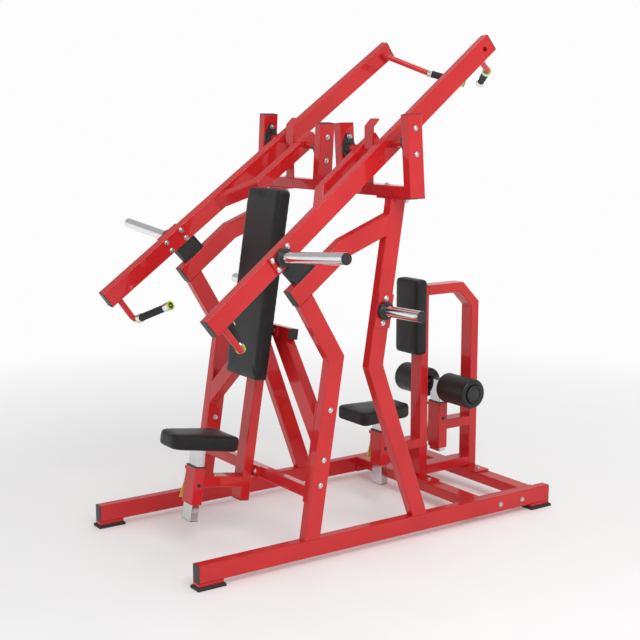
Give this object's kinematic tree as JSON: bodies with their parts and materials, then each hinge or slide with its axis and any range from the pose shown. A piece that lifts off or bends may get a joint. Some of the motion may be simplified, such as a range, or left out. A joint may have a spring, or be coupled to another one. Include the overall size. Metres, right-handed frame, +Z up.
{
  "type": "chest press machine",
  "caption": "Plate-loaded dual-station gym machine: chest press in front and lat pulldown behind share two pivoting lever arms on a red tube frame with sliding seats.",
  "frame": {"origin": "on the floor, at the middle of the footprint", "axes": "+Z up, +X to the machine's right arm, -Y towards the chest press seat, +Y towards the pulldown seat"},
  "size_m": [1.8952, 2.016, 2.3009],
  "materials": {
    "red_paint": "gloss powder coat",
    "black_vinyl": "satin fine grain",
    "black_rubber": "matte",
    "black_plastic": "satin",
    "roller_foam": "satin skin",
    "grip_rubber": "matte",
    "chrome": "polished",
    "zinc_steel": "bright zinc",
    "yellow_lever": "gloss",
    "black_casting": "semi gloss paint"
  },
  "bodies": {
    "frame": {"arm_bumpers": "black_rubber", "back_pad": "black_vinyl", "base_cross_members": "red_paint", "bolted_plates": "red_paint", "bumper_tubes": "red_paint", "chest_cross_members": "red_paint", "chest_pad": "black_vinyl", "chest_post": "red_paint", "chest_seat_bracket": "red_paint", "crossbeam": "red_paint", "foot_risers": "red_paint", "frame_fasteners": "zinc_steel", "front_uprights": "red_paint", "inner_posts": "red_paint", "left_base_rail": "red_paint", "outer_posts": "red_paint", "pulldown_front_post": "red_paint", "pulldown_rear_post": "red_paint", "pulldown_seat_bracket": "red_paint", "pulldown_tie_bars": "red_paint", "rear_uprights": "red_paint", "right_base_rail": "red_paint", "roller_bracket": "red_paint", "rubber_feet": "black_rubber", "shaft_bearings": "black_casting", "shaft_guards": "red_paint", "sleeve_liners": "black_plastic", "storage_horns": "chrome", "struts": "red_paint", "tube_end_caps": "black_plastic"},
    "left_arm_assembly": {"left_arm": "red_paint", "left_arm_caps": "black_plastic", "left_arm_fasteners": "zinc_steel", "left_brace": "red_paint", "left_grips": "grip_rubber", "left_handles": "red_paint", "left_horn_plate": "red_paint", "left_shaft": "red_paint", "left_weight_horn": "chrome"},
    "right_arm_assembly": {"right_arm": "red_paint", "right_arm_caps": "black_plastic", "right_arm_fasteners": "zinc_steel", "right_brace": "red_paint", "right_grips": "grip_rubber", "right_handles": "red_paint", "right_horn_plate": "red_paint", "right_shaft": "red_paint", "right_weight_horn": "chrome"},
    "chest_seat": {"chest_seat": "black_vinyl", "chest_seat_post": "chrome"},
    "pulldown_seat": {"pulldown_seat": "black_vinyl", "pulldown_seat_post": "chrome"},
    "knee_roller_post": {"roller_post": "chrome"},
    "left_knee_roller": {"left_roller": "roller_foam", "left_roller_core": "black_plastic"},
    "right_knee_roller": {"right_roller": "roller_foam", "right_roller_core": "black_plastic"},
    "chest_seat_lever": {"chest_seat_lever": "yellow_lever"},
    "pulldown_seat_lever": {"pulldown_seat_lever": "yellow_lever"},
    "roller_lever": {"roller_lever": "yellow_lever"}
  },
  "joints": [
    {"name": "left_arm_pivot", "type": "hinge", "parent": "frame", "child": "left_arm_assembly", "pos_m": [0, 0.033, 1.772], "axis": [-0.9962, 0, 0.0872], "range_deg": [0, 50]},
    {"name": "right_arm_pivot", "type": "hinge", "parent": "frame", "child": "right_arm_assembly", "pos_m": [0, 0.033, 1.772], "axis": [-0.9962, 0, -0.0872], "range_deg": [0, 50]},
    {"name": "chest_seat_slide", "type": "slide", "parent": "frame", "child": "chest_seat", "axis": [0, 0.1587, 0.9873], "range_m": [-0.06, 0.1]},
    {"name": "pulldown_seat_slide", "type": "slide", "parent": "frame", "child": "pulldown_seat", "axis": [0, 0, 1], "range_m": [-0.05, 0.1]},
    {"name": "knee_roller_slide", "type": "slide", "parent": "frame", "child": "knee_roller_post", "axis": [0, 0, 1], "range_m": [-0.05, 0.1]},
    {"name": "left_roller_spin", "type": "hinge", "parent": "knee_roller_post", "child": "left_knee_roller", "pos_m": [0, 0.6895, 0.568], "axis": [1, 0, 0], "continuous": true},
    {"name": "right_roller_spin", "type": "hinge", "parent": "knee_roller_post", "child": "right_knee_roller", "pos_m": [0, 0.6895, 0.568], "axis": [1, 0, 0], "continuous": true},
    {"name": "chest_lever_pull", "type": "hinge", "parent": "frame", "child": "chest_seat_lever", "pos_m": [-0.054, -0.72974, 0.35385], "axis": [0, 0.9873, -0.1587], "range_deg": [0, 12], "stiffness_Nm_per_rad": 0.8, "springref_deg": -17.19},
    {"name": "pulldown_lever_pull", "type": "hinge", "parent": "frame", "child": "pulldown_seat_lever", "pos_m": [-0.054, 0.3165, 0.366], "axis": [0, 1, 0], "range_deg": [0, 12], "stiffness_Nm_per_rad": 0.8, "springref_deg": -17.19},
    {"name": "roller_lever_pull", "type": "hinge", "parent": "frame", "child": "roller_lever", "pos_m": [-0.054, 0.6895, 0.465], "axis": [0, 1, 0], "range_deg": [0, 12], "stiffness_Nm_per_rad": 0.8, "springref_deg": -17.19}
  ]
}
